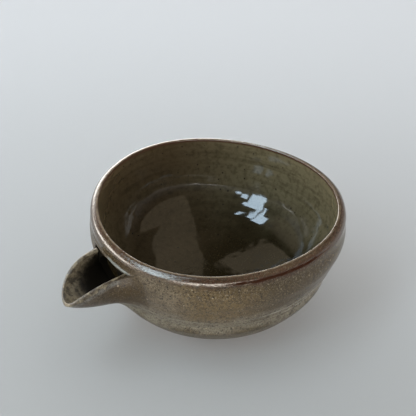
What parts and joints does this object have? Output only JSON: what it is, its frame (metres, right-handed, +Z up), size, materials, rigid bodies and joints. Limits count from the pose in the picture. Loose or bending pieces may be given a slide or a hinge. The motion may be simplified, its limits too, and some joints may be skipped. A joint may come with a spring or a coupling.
{
  "type": "katakuchi sake pourer",
  "caption": "Round stoneware katakuchi pouring bowl with a waisted wall, a foot ring and a short open side spout set over a pour hole under its lip.",
  "frame": {"origin": "centre of the foot ring's base, on the bowl's axis", "axes": "+Z up along the bowl's axis, +X along the spout"},
  "size_m": [0.146, 0.1218, 0.057],
  "materials": {
    "clay": "bare fired stoneware",
    "inner_glaze": "glossy olive brown",
    "outer_glaze": "satin speckled brown grey",
    "rim_glaze": "glossy red brown",
    "spout_glaze": "glossy dark grey and ochre"
  },
  "bodies": {
    "root": {"bowl_body": "clay", "foot_ring": "clay", "spout_trough": "clay", "spout_seam": "outer_glaze", "inner_glaze": "inner_glaze", "outer_glaze": "outer_glaze", "rim_glaze": "rim_glaze", "spout_glaze": "spout_glaze"}
  },
  "joints": []
}
